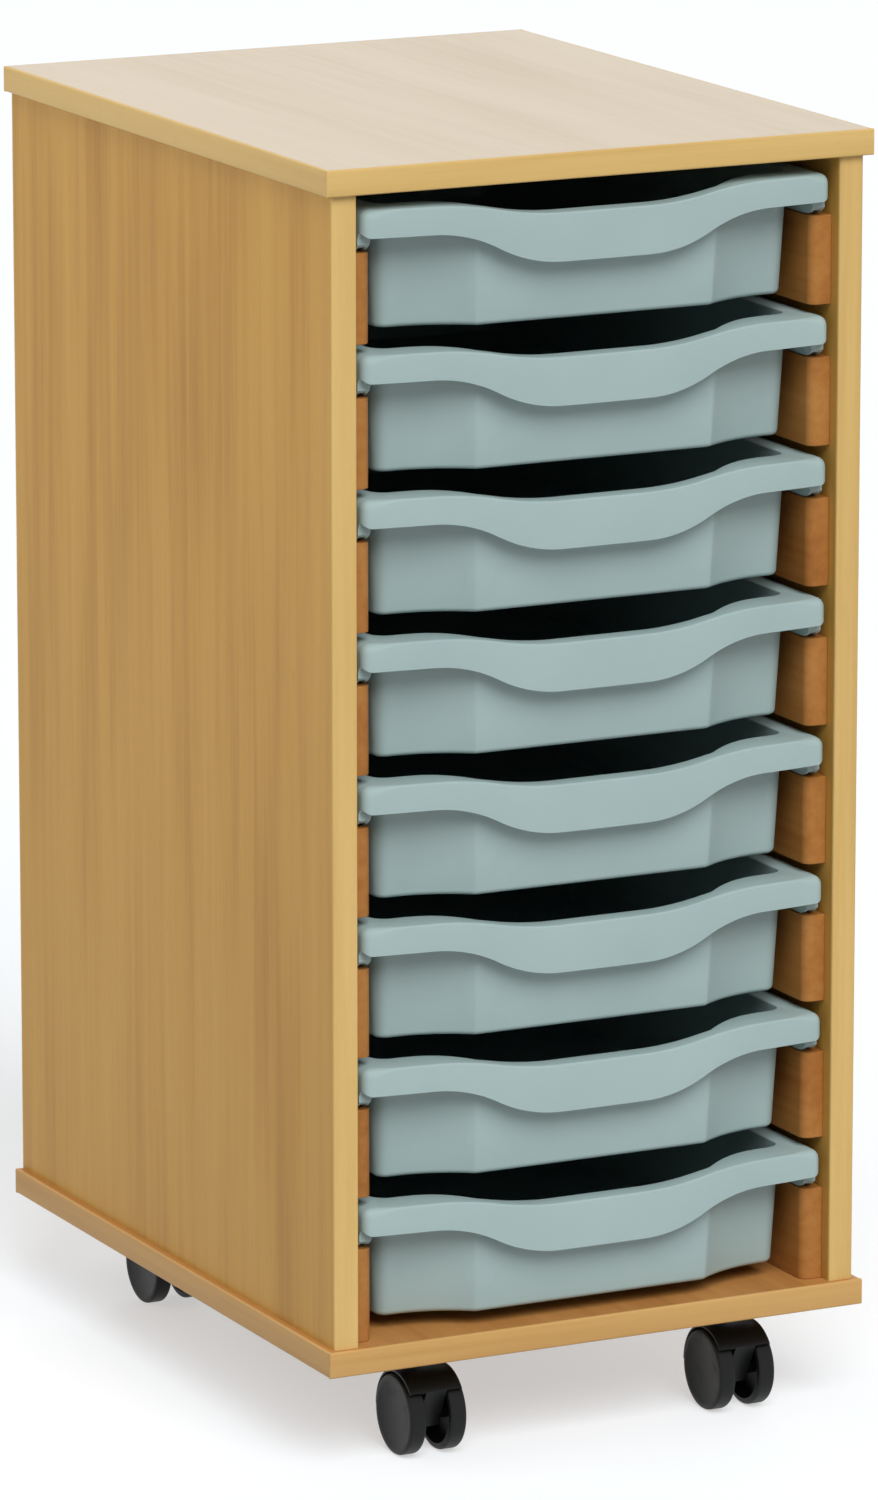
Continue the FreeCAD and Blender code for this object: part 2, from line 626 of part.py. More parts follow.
def tray(label, bottom, tub, inside):
    """A tray. Its own frame has the rim ends at y = 0 and the underside at z = 0."""
    body = new_body(label)
    place(body, "0", "rim_front", bottom)
    top = "tray_height"
    skirt_foot = "(tray_height - skirt_depth)"
    lip_foot = "(tray_height - skirt_depth - lip_drop)"
    rail_foot = "(tray_height - rail_depth)"
    under_rim = "(tray_height - tray_wall)"

    # The rim's plate: level at the sides and back, dipped in the middle of its front.
    level = new_sketch(body, "XY_Plane", under_rim)
    rectangle(level, "-tray_width", "tray_width", "front_zone", "2 * tray_length")
    feature(body, "Pad", level, "tray_wall")
    dipped = new_sketch(body, "XZ_Plane", "2 * lip_bow")
    upper = wave(top, "(tray_height - lip_rise)", "lip_upper_radius")
    lower = wave(under_rim, "(tray_height - lip_rise - tray_wall)", "lip_upper_radius")
    loop(dipped, *lower, *backwards(upper))
    reverse(feature(body, "Pad", dipped, "2 * lip_bow + front_zone"))
    trim = new_sketch(body, "XY_Plane", top)
    rectangle(trim, "-2 * tray_width", "2 * tray_width", "-tray_width", "3 * tray_length")
    rim_outline(trim, "0")
    feature(body, "Pocket", trim, top)

    # The skirt that hangs from the rim's edge; in front it deepens into the waved lip.
    skirt = new_sketch(body, "XY_Plane", lip_foot)
    rim_outline(skirt, "0")
    rim_outline(skirt, "tray_wall")
    feature(body, "Pad", skirt, "skirt_depth + lip_drop")
    behind = new_sketch(body, "YZ_Plane", "-tray_width")
    rectangle(behind, "corner_setback", "2 * tray_length", "0", skirt_foot)
    reverse(feature(body, "Pocket", behind, "2 * tray_width"))
    below = new_sketch(body, "XZ_Plane", "2 * lip_bow")
    loop(below, ("tray_width", "0"), ("-tray_width", "0"),
         *wave(skirt_foot, lip_foot, "lip_lower_radius"))
    feature(body, "Pocket", below, "2 * lip_bow + front_zone")

    # The tub, cut down to the dip in the rim.
    combine(body, "Fuse", tub)
    above = new_sketch(body, "XZ_Plane", "2 * lip_bow")
    loop(above, ("tray_width", "2 * tray_height"), ("-tray_width", "2 * tray_height"), *upper)
    feature(body, "Pocket", above, "2 * lip_bow + front_zone")

    # The two rails, closed at both ends and hollow from below.
    rails = new_sketch(body, "XZ_Plane", "-rail_inset")
    channels = new_sketch(body, "XZ_Plane", "-rail_inset - tray_wall")
    for sign in ("-", ""):
        loop(rails,
             (f"{sign}rim_half", top),
             (f"{sign}rim_half", rail_foot),
             (f"{sign}(rim_half - rail_width + rail_slant)", rail_foot),
             (f"{sign}(rim_half - rail_width)", top))
        loop(channels,
             (f"{sign}(rim_half - tray_wall)", under_rim),
             (f"{sign}(rim_half - tray_wall)", "0"),
             (f"{sign}(rim_half - rail_width + rail_slant + tray_wall)", "0"),
             (f"{sign}(rim_half - rail_width + rail_slant + tray_wall)", rail_foot),
             (f"{sign}(rim_half - rail_width + tray_wall)", under_rim))
    reverse(feature(body, "Pad", rails, "tray_length - 2 * rail_inset"))
    feature(body, "Pocket", channels, "tray_length - 2 * rail_inset - 2 * tray_wall")

    # The bevels along the sides of the rim.
    bevels = new_sketch(body, "XZ_Plane", "2 * lip_bow")
    for sign in ("-", ""):
        loop(bevels,
             (f"{sign}(rim_half - rim_bevel)", top),
             (f"{sign}rim_half", f"({top} - rim_bevel)"),
             (f"{sign}tray_width", f"({top} - rim_bevel)"),
             (f"{sign}tray_width", "2 * tray_height"),
             (f"{sign}(rim_half - rim_bevel)", "2 * tray_height"))
    feature(body, "Pocket", bevels, "2 * lip_bow + 2 * tray_length")

    # The inside of the tub, one wall smaller all round and down to its floor.
    combine(body, "Cut", inside)


tubs = []
for number in range(1, tray_count + 1):
    # The tub ends in the thickness of the rim's plate, and its inside ends above it.
    tubs.append((tub_solid(f"tub_{number}", "0", "0", "tray_height - tray_wall / 2"),
                 tub_solid(f"inside_{number}", "(-tray_wall / cos(tub_draft))", "tray_wall",
                           "tray_height")))
doc.recompute()
for number, (tub, inside) in enumerate(tubs, 1):
    draft(tub)
    draft(inside)
    seat = f"first_seat + {tray_count - number} * tray_pitch"
    tray(f"tray_{number}", f"{seat} + tray_play - tray_height + rail_depth", tub, inside)


# --- castors: twin wheels under a hooded housing that turns on a pin -----------------------

def castor_plate(label, x, y):
    """The screwed plate, with the pin's hole in its middle."""
    body = new_body(label)
    place(body, x, y, "base_under - plate_thickness")
    half = "plate_size / 2"
    flat = "(plate_size / 2 - plate_corner)"
    outline = new_sketch(body, "XY_Plane")
    loop(outline,
         (flat, f"-{half}"),
         (half, f"-{flat}", "plate_corner", "left"),
         (half, flat),
         (flat, half, "plate_corner", "left"),
         (f"-{flat}", half),
         (f"-{half}", flat, "plate_corner", "left"),
         (f"-{half}", f"-{flat}"),
         (f"-{flat}", f"-{half}", "plate_corner", "left"))
    circle(outline, "0", "0", "pin_diameter / 2")
    for x_sign, y_sign in PLATE_HOLES:
        circle(outline, f"{x_sign}plate_pitch / 2", f"{y_sign}plate_pitch / 2", "plate_hole / 2")
    feature(body, "Pad", outline, "plate_thickness")


def castor_pin(label, x, y):
    """The pin, riveted through the plate, with a collar under it and a domed foot."""
    body = new_body(label)
    place(body, x, y, "base_under")
    radius = "pin_diameter / 2"
    foot = "(-plate_thickness - pin_length)"
    profile = new_sketch(body, "XZ_Plane")
    loop(profile,
         ("0", "0"),
         ("0", foot),
         (f"{radius} - pin_chamfer", foot),
         (radius, f"{foot} + pin_chamfer"),
         (radius, "-plate_thickness - collar_height"),
         ("collar_diameter / 2", "-plate_thickness - collar_height"),
         ("collar_diameter / 2", "-plate_thickness"),
         (radius, "-plate_thickness"),
         (radius, "0"))
    turn(body, profile, "V_Axis")


def turn(body, profile, axis):
    """A full turn of a profile about an axis of its sketch."""
    made = body.newObject("PartDesign::Revolution", body.Label + "_turn")
    made.Profile = profile
    made.ReferenceAxis = (profile, [axis])
    made.Angle = 360
    body.Tip = made
    return made


def castor_housing(label, x, y):
    """The moulded housing. Its own frame has the castor pin at x = y = 0 and z up from the
    axle; the axle trails towards the front."""
    body = new_body(label)
    place(body, x, y, "wheel_radius")
    axle_y = "-castor_trail"

    # The web between the wheels, under the hood.
    lifted = (f"({axle_y} - hood_outer * cos(hood_lift))", "(hood_outer * sin(hood_lift))")
    web = new_sketch(body, "YZ_Plane")
    loop(web,
         (f"{axle_y} - web_foot", "-web_foot"),
         (f"{axle_y} + web_foot", "-web_foot"),
         (f"{axle_y} + hood_outer", "0"),
         (axle_y, "hood_outer", "hood_outer", "left"),
         (*lifted, "hood_outer", "left"))
    both_ways(feature(body, "Pad", web, "web_width"))

    # The hood over both wheels, cut back on the trailing side.
    hood = new_sketch(body, "YZ_Plane")
    loop(hood,
         (f"{axle_y} + hood_outer", "0"),
         (axle_y, "hood_outer", "hood_outer", "left"),
         (*lifted, "hood_outer", "left"),
         (f"({axle_y} - hood_inner * cos(hood_lift))", "(hood_inner * sin(hood_lift))"),
         (axle_y, "hood_inner", "hood_inner", "right"),
         (f"{axle_y} + hood_inner", "0", "hood_inner", "right"))
    both_ways(feature(body, "Pad", hood, "hood_width"))

    # The boss that turns on the pin, and its bore.
    boss = new_sketch(body, "XY_Plane", "boss_foot")
    circle(boss, "0", "0", "boss_diameter / 2")
    feature(body, "Pad", boss, "boss_top - boss_foot")
    bore = new_sketch(body, "XY_Plane", "boss_top")
    circle(bore, "0", "0", "(pin_diameter + pin_play) / 2")
    feature(body, "Pocket", bore, "boss_top - boss_foot - boss_floor")
    axle_hole = new_sketch(body, "YZ_Plane")
    circle(axle_hole, axle_y, "0", "axle_diameter / 2")
    both_ways(feature(body, "Pocket", axle_hole, "unit_width"))


def castor_axle(label, x, y):
    """The axle, fixed in the housing."""
    made = doc.addObject("Part::Cylinder", label)
    made.Label = label
    bind(made, Radius="axle_diameter / 2", Height="axle_length")
    made.Placement.Rotation = FreeCAD.Rotation(FreeCAD.Vector(0, 1, 0), 90)
    place(made, f"{x} - axle_length / 2", f"{y} - castor_trail", "wheel_radius")
    sub_parts.append(made)


def castor_wheel(label, x, y, outwards):
    """A wheel with a closed, dished outer face and a blind bore. Its own frame has the
    inner face at x = 0; outwards is "" for a wheel that faces +X or "-" for -X."""
    body = new_body(label)
    place(body, f"{x} + {outwards}wheel_gap / 2", f"{y} - castor_trail", "wheel_radius")
    bore = "((axle_diameter + axle_play) / 2)"
    inner_disc = f"{outwards}(wheel_width - wheel_disc)"
    floor = f"{outwards}(wheel_width - wheel_dish)"
    rim_inner = "(wheel_radius - wheel_rim)"
    quick, slow = ("left", "right") if outwards == "" else ("right", "left")
    profile = new_sketch(body, "XY_Plane")
    loop(profile,
         (f"{outwards}bore_depth", "0"),
         (f"{outwards}bore_depth", bore),
         ("0", bore),
         ("0", "hub_diameter / 2"),
         (inner_disc, "hub_diameter / 2"),
         (inner_disc, rim_inner),
         ("0", rim_inner),
         ("0", "wheel_radius - wheel_round"),
         (f"{outwards}wheel_round", "wheel_radius", "wheel_round", slow),
         (f"{outwards}(wheel_width - wheel_round)", "wheel_radius"),
         (f"{outwards}wheel_width", "wheel_radius - wheel_round", "wheel_round", slow),
         (f"{outwards}wheel_width", rim_inner),
         (floor, f"{rim_inner} - 2 * wheel_dish"),
         (floor, "0"))
    turn(body, profile, "H_Axis")


for corner, castor_x, castor_y in CASTORS:
    castor_plate(f"{corner}_castor_plate", castor_x, castor_y)
    castor_pin(f"{corner}_castor_pin", castor_x, castor_y)
    castor_housing(f"{corner}_castor_housing", castor_x, castor_y)
    castor_axle(f"{corner}_castor_axle", castor_x, castor_y)
    castor_wheel(f"{corner}_castor_left_wheel", castor_x, castor_y, "-")
    castor_wheel(f"{corner}_castor_right_wheel", castor_x, castor_y, "")

# Four screws through each castor plate into the base.
screws = []
for corner, castor_x, castor_y in CASTORS:
    for x_sign, y_sign in PLATE_HOLES:
        x = f"{castor_x} {x_sign} plate_pitch / 2"
        y = f"{castor_y} {y_sign} plate_pitch / 2"
        screw = doc.addObject("Part::Fuse", f"screw_{len(screws) + 1}")
        shank = doc.addObject("Part::Cylinder", screw.Name + "_shank")
        bind(shank, Radius="screw_diameter / 2", Height="plate_thickness + screw_length")
        place(shank, x, y, "base_under - plate_thickness")
        head = doc.addObject("Part::Cone", screw.Name + "_head")
        bind(head, Radius1="screw_head / 4", Radius2="screw_head / 2", Height="screw_head_height")
        place(head, x, y, "base_under - plate_thickness - screw_head_height")
        screw.Base = shank
        screw.Tool = head
        screws.append(screw)
group("castor_screws", screws)

# --- rounded edges, picked once the solids stand -------------------------------------------

doc.recompute()


def on_floor(edge):
    """True for an edge round the underside of a tray."""
    return max(corner.Z for corner in edge.Vertexes) < TOUCH


def on_lip(edge):
    """True for an edge along the top of a tray's lip, seen from the front."""
    ends = [corner.Point for corner in edge.Vertexes]
    if len(ends) < 2 or max(abs(end.x) for end in ends) > value("lip_end_half") + TOUCH:
        return False
    for end in ends:
        bow = (value("bow_radius") ** 2 - end.x ** 2) ** 0.5
        if abs(value("bow_radius - lip_bow") - bow - end.y) > TOUCH:
            return False
        if end.z < value("tray_height - lip_rise") - TOUCH:
            return False
    return abs(ends[0].x - ends[1].x) > TOUCH


def on_shoulder(edge):
    """True for an edge along the top of a castor hood, at either side."""
    if not isinstance(edge.Curve, Part.Circle):
        return False
    out_at_side = abs(abs(edge.Vertexes[0].X) - value("hood_width / 2")) < TOUCH
    return out_at_side and abs(edge.Curve.Radius - value("hood_outer")) < TOUCH


def rounded(body, radius, chosen):
    """Rounds the edges of a body that a test picks out."""
    solid = body.Tip
    edges = enumerate(solid.Shape.Edges, 1)
    names = [f"Edge{number}" for number, edge in edges if chosen(edge)]
    made = body.newObject("PartDesign::Fillet", body.Label + "_round")
    made.Base = (solid, names)
    bind(made, Radius=radius)
    body.Tip = made


for radius, chosen in (("lip_round", on_lip), ("tub_foot_round", on_floor)):
    for number in range(1, tray_count + 1):
        rounded(doc.getObject(f"tray_{number}"), radius, chosen)
    # The next edges are picked from the solids as they stand now.
    doc.recompute()
for corner, castor_x, castor_y in CASTORS:
    rounded(doc.getObject(f"{corner}_castor_housing"), "hood_round", on_shoulder)
doc.recompute()

# --- checks and export ---------------------------------------------------------------------

for thing in doc.Objects:
    if "Invalid" in thing.State or "Error" in thing.State:
        raise RuntimeError(f"{thing.Label} failed: {thing.State}")
os.makedirs("parts", exist_ok=True)
for part in sub_parts:
    shape = part.Shape
    if shape.isNull() or not shape.isValid() or not shape.Solids:
        raise RuntimeError(f"{part.Label} has no valid solid")
    shape.exportStep(f"parts/{part.Label}.step")
    print(f"{part.Label}: {len(shape.Solids)} solid(s), {shape.Volume / 1000:.1f} cm3, "
          f"box {shape.BoundBox.XMin:.1f}..{shape.BoundBox.XMax:.1f} "
          f"{shape.BoundBox.YMin:.1f}..{shape.BoundBox.YMax:.1f} "
          f"{shape.BoundBox.ZMin:.1f}..{shape.BoundBox.ZMax:.1f}")
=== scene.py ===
"""Looks for a classroom tray storage unit: a beech-faced cabinet on castors with eight grey trays.

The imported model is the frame. Sizes are metres in the row's frame: +Z up, the open front
faces -Y, and the origin is on the floor under the middle of the unit.
"""
import json
import math
import bmesh
import bpy
import numpy as np
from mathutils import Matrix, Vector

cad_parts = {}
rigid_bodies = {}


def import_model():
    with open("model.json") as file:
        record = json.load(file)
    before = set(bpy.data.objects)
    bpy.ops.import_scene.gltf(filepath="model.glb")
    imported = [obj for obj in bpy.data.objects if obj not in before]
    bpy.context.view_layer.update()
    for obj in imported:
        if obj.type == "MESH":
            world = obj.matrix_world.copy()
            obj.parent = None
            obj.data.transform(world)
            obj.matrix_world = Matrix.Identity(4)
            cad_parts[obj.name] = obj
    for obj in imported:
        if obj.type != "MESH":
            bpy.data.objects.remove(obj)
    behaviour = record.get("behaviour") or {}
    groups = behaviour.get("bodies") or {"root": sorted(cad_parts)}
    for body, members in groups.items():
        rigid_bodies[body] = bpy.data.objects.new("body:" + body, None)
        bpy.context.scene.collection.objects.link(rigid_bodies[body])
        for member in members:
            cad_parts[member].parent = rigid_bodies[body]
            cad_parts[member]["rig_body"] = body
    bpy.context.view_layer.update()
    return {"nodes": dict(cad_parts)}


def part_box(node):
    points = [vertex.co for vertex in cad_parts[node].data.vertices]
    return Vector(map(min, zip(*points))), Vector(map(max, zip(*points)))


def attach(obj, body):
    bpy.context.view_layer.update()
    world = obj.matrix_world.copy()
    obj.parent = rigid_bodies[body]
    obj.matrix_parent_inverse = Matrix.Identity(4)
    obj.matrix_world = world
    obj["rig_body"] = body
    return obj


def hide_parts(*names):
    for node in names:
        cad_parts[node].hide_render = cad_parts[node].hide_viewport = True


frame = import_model()
nodes = frame["nodes"]

# --- Camera --------------------------------------------------------------------------------
# A long lens a little above the unit and to its left, so that the top, the left side and the
# open front all show and the upright edges stay nearly upright.

camera_azimuth = math.radians(-26.43)
camera_elevation = math.radians(12.76)
camera_distance = 5.589
camera_lens = 215.5
aim_point = (0.0033, -0.0047, 0.3854)

camera_data = bpy.data.cameras.new("camera")
camera_data.lens = camera_lens
camera_data.clip_start = 0.1
camera_data.clip_end = 60.0
camera = bpy.data.objects.new("camera", camera_data)
bpy.context.scene.collection.objects.link(camera)
camera.location = (
    aim_point[0] + camera_distance * math.cos(camera_elevation) * math.sin(camera_azimuth),
    aim_point[1] - camera_distance * math.cos(camera_elevation) * math.cos(camera_azimuth),
    aim_point[2] + camera_distance * math.sin(camera_elevation),
)
camera.rotation_euler = (math.pi / 2 - camera_elevation, 0.0, camera_azimuth)
bpy.context.scene.camera = camera
bpy.context.scene.view_settings.view_transform = "Standard"

# --- Boards --------------------------------------------------------------------------------
# Top, base, sides and back are particle board faced with a printed beech foil: straight grain,
# fine dashes along it, and slow changes of tone between bands. The top is under a clear satin
# coat, and its colours are paler than the foil's as painted glare, a painted reflection of the
# bright room. The base inside the carcase is darker and redder as painted shade and warm bounce
# light.


class Value:
    """A node's output. Arithmetic on values adds Math nodes to the material."""

    def __init__(self, surface, socket):
        self.surface = surface
        self.socket = socket

    def __add__(self, other):
        return self.surface.node("Math", {"operation": "ADD"}, [self, other])

    def __mul__(self, other):
        return self.surface.node("Math", {"operation": "MULTIPLY"}, [self, other])

    def between(self, low, high):
        """0 below low, 1 above high, and smooth between."""
        settings = {"interpolation_type": "SMOOTHSTEP"}
        return self.surface.node("MapRange", settings,
                                 {"Value": self, "From Min": low, "From Max": high})

    __radd__ = __add__


class Surface:
    """A material and the nodes that make its finish."""

    def __init__(self, name):
        self.material = bpy.data.materials.new(name)
        self.material.use_nodes = True
        self.tree = self.material.node_tree
        self.shader = self.tree.nodes["Principled BSDF"]
        self.place = self.node("TexCoord", {}, {}, "Object")

    def node(self, kind, settings, sockets, output=0):
        """Adds a node: its settings are set first, then its sockets by name or in order."""
        made = self.tree.nodes.new("ShaderNode" + kind)
        for name, setting in settings.items():
            setattr(made, name, setting)
        if not isinstance(sockets, dict):
            sockets = dict(enumerate(sockets))
        for name, given in sockets.items():
            if isinstance(given, Value):
                self.tree.links.new(given.socket, made.inputs[name])
            else:
                made.inputs[name].default_value = given
        return Value(self, made.outputs[output])

    def drawn_out(self, axis, share):
        """Object coordinates that run slower along one axis, so that a pattern is longer there."""
        scale = [1.0, 1.0, 1.0]
        scale[axis] = share
        return self.node("Mapping", {}, {"Vector": self.place, "Scale": scale})

    def noise(self, vector, scale, detail, roughness):
        """Soft noise from 0 to 1."""
        return self.node("TexNoise", {}, {"Vector": vector, "Scale": scale, "Detail": detail,
                                          "Roughness": roughness})

    def ramp(self, amount, stops):
        """Colours between stops of a position and a colour each. The first two take the stops
        that a new ramp has."""
        made = self.node("ValToRGB", {}, {"Fac": amount})
        elements = made.socket.node.color_ramp.elements
        for number, (position, shade) in enumerate(stops):
            stop = elements[number] if number < 2 else elements.new(position)
            stop.position = position
            stop.color = (*shade, 1.0)
        return made

    def blend(self, amount, first, second):
        """Two colours mixed by an amount. The Mix node's colours are its sockets 6 and 7."""
        made = self.node("Mix", {"data_type": "RGBA"}, {0: amount}, 2)
        for number, given in ((6, first), (7, second)):
            socket = made.socket.node.inputs[number]
            if isinstance(given, Value):
                self.tree.links.new(given.socket, socket)
            else:
                socket.default_value = (*given, 1.0)
        return made

    def finish(self, colour, roughness, height=None, depth=0.0, strength=0.0, **fixed):
        """Feeds the shader: a colour, a roughness and a bump height; the rest is fixed."""
        for name, given in (("Base Color", colour), ("Roughness", roughness)):
            if isinstance(given, Value):
                self.tree.links.new(given.socket, self.shader.inputs[name])
            else:
                self.shader.inputs[name].default_value = given
        if height is not None:
            bump = self.node("Bump", {}, {"Height": height, "Distance": depth,
                                          "Strength": strength})
            self.tree.links.new(bump.socket, self.shader.inputs["Normal"])
        for name, given in fixed.items():
            self.shader.inputs[name.replace("_", " ")].default_value = given
        return self.material


def srgb(red, green, blue):
    """A linear colour from 0-255 display values."""
    shades = np.array([red, green, blue]) / 255.0
    linear = np.where(shades <= 0.04045, shades / 12.92, ((shades + 0.055) / 1.055) ** 2.4)
    return tuple(float(shade) for shade in linear)


# The axis that a board's grain or a strip runs along.
across, lengthwise, upright = 0, 1, 2
beech_light = srgb(206, 161, 84)
beech_mid = srgb(197, 151, 74)
beech_dark = srgb(177, 130, 58)
# The top's colours are paler than the foil's: painted glare, the satin coat's reflection of the
# bright room painted into the colour.
top_painted_glare_light = srgb(206, 187, 158)
top_painted_glare_mid = srgb(200, 180, 149)
top_painted_glare_dark = srgb(190, 168, 134)
top_coat = 0.5
# The base panel's colours are darker and redder than the foil's: painted shade and warm bounce
# light of the carcase's inside, over the beech's own tone.
inner_painted_shade_light = srgb(194, 142, 83)
inner_painted_shade_mid = srgb(182, 128, 71)
inner_painted_shade_dark = srgb(162, 108, 55)
# The foil's print: how many patterns lie in a metre across the grain, how slowly they run along
# it, and what share of the tone they have.
band_count, band_draw, band_share = 22.0, 0.10, 0.6
streak_count, streak_draw, streak_share = 150.0, 0.03, 0.4
dash_count, dash_draw = 900.0, 0.08
dash_low, dash_high = 0.60, 0.74
dash_ink, dash_height = 0.22, 0.5
dark_tone, mid_tone, light_tone = 0.30, 0.50, 0.70
grain_depth, grain_strength = 0.00004, 0.25
foil_gloss, foil_gloss_spread = 0.34, 0.10
foil_shine = 0.12
coat_gloss = 0.24


def beech(name, along, light, mid, dark, coat=0.0):
    """Printed beech: bands, streaks and short dashes drawn out along one axis of the board. The
    tone is a sum of the bands and the streaks by their shares, and the dashes are printed over
    it in the dark colour."""
    surface = Surface(name)
    streaks = surface.noise(surface.drawn_out(along, streak_draw), streak_count,
                            detail=3.0, roughness=0.55)
    bands = surface.noise(surface.drawn_out(along, band_draw), band_count,
                          detail=2.0, roughness=0.5)
    specks = surface.noise(surface.drawn_out(along, dash_draw), dash_count,
                           detail=1.0, roughness=0.5)
    dashes = specks.between(dash_low, dash_high)
    tone = bands * band_share + streaks * streak_share
    stops = ((dark_tone, dark), (light_tone, light), (mid_tone, mid))
    colour = surface.blend(dashes * dash_ink, surface.ramp(tone, stops), dark)
    gloss = foil_gloss + streaks * foil_gloss_spread
    return surface.finish(colour, gloss, streaks + dashes * dash_height, grain_depth,
                          grain_strength, Specular_IOR_Level=foil_shine, Coat_Weight=coat,
                          Coat_Roughness=coat_gloss)


upright_beech = beech("beech_upright", upright, beech_light, beech_mid, beech_dark)
inner_painted_shade_beech = beech("beech_inner_painted_shade", lengthwise, inner_painted_shade_light, inner_painted_shade_mid, inner_painted_shade_dark)
top_painted_glare_beech = beech("beech_top_painted_glare", lengthwise, top_painted_glare_light, top_painted_glare_mid, top_painted_glare_dark, top_coat)


def dress(node_names, material):
    """Gives CAD nodes a material of this scene in place of their own."""
    for name in node_names:
        mesh = nodes[name].data
        mesh.materials.clear()
        mesh.materials.append(material)


dress(("left_side_panel", "right_side_panel", "back_panel"), upright_beech)
# The base gets the beech with painted shade and bounce light.
dress(("base_panel",), inner_painted_shade_beech)
dress(("top_panel",), top_painted_glare_beech)

# --- Edge strips ---------------------------------------------------------------------------
# Two-millimetre beech-effect plastic strips, glued to the boards' cut edges and then routed, which
# leaves a small round on both outer corners. They are a little more golden than the foil, and
# those of the base are darker and redder.

strip_round = 0.0012
strip_sharp = 40.0
quarter_round = np.radians([0.0, 22.5, 45.0, 67.5, 90.0])
glue_line = 0.00015
merge_distance = 2e-6
flat_angle = math.radians(0.2)
strip_light = srgb(217, 184, 121)
strip_mid = srgb(209, 175, 110)
strip_dark = srgb(197, 160, 95)
base_strip_light = srgb(206, 166, 108)
base_strip_mid = srgb(198, 157, 99)
base_strip_dark = srgb(186, 143, 85)


def skin(name, rows, width, sharpest):
    """A closed piece from rows of points, each row a closed loop, with flat first and last
    rows. Its sharp edges get a small bevel."""
    count, columns = rows.shape[:2]
    here = np.arange(count * columns).reshape(count, columns)
    after = np.roll(here, -1, axis=1)
    quads = np.stack([here[:-1], here[1:], after[1:], after[:-1]], 2).reshape(-1, 4)
    mesh = bpy.data.meshes.new(name)
    caps = [here[0].tolist(), here[-1][::-1].tolist()]
    mesh.from_pydata(rows.reshape(-1, 3).tolist(), [], quads.tolist() + caps)
    return settled(name, mesh, width, sharpest)


def settled(name, mesh, width, sharpest):
    """Merges a mesh's doubles and flat faces, turns its faces outwards, shades it smooth
    between its sharp edges and bevels those."""
    work = bmesh.new()
    work.from_mesh(mesh)
    bmesh.ops.remove_doubles(work, verts=work.verts, dist=merge_distance)
    bmesh.ops.dissolve_degenerate(work, edges=work.edges, dist=merge_distance)
    bmesh.ops.dissolve_limit(work, angle_limit=flat_angle, verts=work.verts, edges=work.edges)
    bmesh.ops.recalc_face_normals(work, faces=work.faces)
    work.to_mesh(mesh)
    work.free()
    mesh.shade_smooth()
    mesh.set_sharp_from_angle(angle=math.radians(sharpest))
    piece = bpy.data.objects.new(name, mesh)
    bpy.context.scene.collection.objects.link(piece)
    bevel = piece.modifiers.new("edges", "BEVEL")
    bevel.width = width
    bevel.segments = 2
    bevel.limit_method = "ANGLE"
    bevel.angle_limit = math.radians(sharpest)
    bevel.harden_normals = True
    return piece


def stand_in(piece, node, material):
    """A piece that rides with a CAD node's body and stands for it."""
    piece.data.materials.clear()
    piece.data.materials.append(material)
    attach(piece, nodes[node]["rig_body"])
    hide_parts(node)


def strip(name, node, low, high, along, outwards, facing, finish):
    """An edge strip between two corners of its box, carried straight along one axis. Its
    section has square corners against the board and two quarter rounds outside, and its
    finish is one of the strip beeches, by the axis of their grain."""
    over = 3 - along - outwards
    thick, broad = high[outwards] - low[outwards], high[over] - low[over]
    near = np.stack([thick - strip_round * (1 - np.sin(quarter_round)),
                     strip_round * (1 - np.cos(quarter_round))], 1)
    far = near[::-1] * (1, -1) + (0, broad)
    section = np.concatenate([[(0, 0)], near, far, [(0, broad)]])
    rows = np.zeros((2, len(section), 3))
    rows[:, :, along] = np.array([low[along], high[along]])[:, None]
    seat = low[outwards] if facing > 0 else high[outwards]
    rows[:, :, outwards] = seat + facing * section[:, 0]
    rows[:, :, over] = low[over] + section[:, 1]
    stand_in(skin(name, rows, glue_line, strip_sharp), node, finish[along])


strip_beech = [beech(f"strip_{way}", number, strip_light, strip_mid, strip_dark)
               for number, way in enumerate(("crosswise", "lengthwise", "upright"))]
base_strip_beech = [beech(f"base_strip_{way}", number, base_strip_light, base_strip_mid,
                          base_strip_dark)
                    for number, way in enumerate(("crosswise", "lengthwise"))]
strip_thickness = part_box("top_panel")[0].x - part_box("top_edging")[0].x
for board, finish in (("top", strip_beech), ("base", base_strip_beech)):
    node = f"{board}_edging"
    low, high = (np.array(corner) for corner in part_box(node))
    front_high = np.array((high[0], low[1] + strip_thickness, high[2]))
    back_low = np.array((low[0], high[1] - strip_thickness, low[2]))
    strip(f"{board}_front_strip", node, low, front_high, across, lengthwise, -1, finish)
    strip(f"{board}_back_strip", node, back_low, high, across, lengthwise, 1, finish)
    inner_low = low + (0, strip_thickness, 0)
    inner_high = high - (0, strip_thickness, 0)
    left_high = np.array((low[0] + strip_thickness, inner_high[1], high[2]))
    right_low = np.array((high[0] - strip_thickness, inner_low[1], low[2]))
    strip(f"{board}_left_strip", node, inner_low, left_high, lengthwise, across, -1, finish)
    strip(f"{board}_right_strip", node, right_low, inner_high, lengthwise, across, 1, finish)
for side in ("left", "right"):
    node = f"{side}_side_edging"
    low, high = (np.array(corner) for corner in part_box(node))
    front_high = np.array((high[0], low[1] + strip_thickness, high[2]))
    back_low = np.array((low[0], high[1] - strip_thickness, low[2]))
    strip(f"{side}_front_strip", node, low, front_high, upright, lengthwise, -1, strip_beech)
    strip(f"{side}_back_strip", node, back_low, high, upright, lengthwise, 1, strip_beech)

# --- Dowels --------------------------------------------------------------------------------
# Beech dowels, three to a joint, glued into the side panels' ends and into the top and base.
# They are bare wood, a little paler than the foil, and the boards hide them.

dowel_light = srgb(225, 196, 152)
dowel_mid = srgb(210, 178, 130)
dowel_dark = srgb(188, 152, 104)
dress(("panel_dowels",), beech("dowel_wood", upright, dowel_light, dowel_mid, dowel_dark))
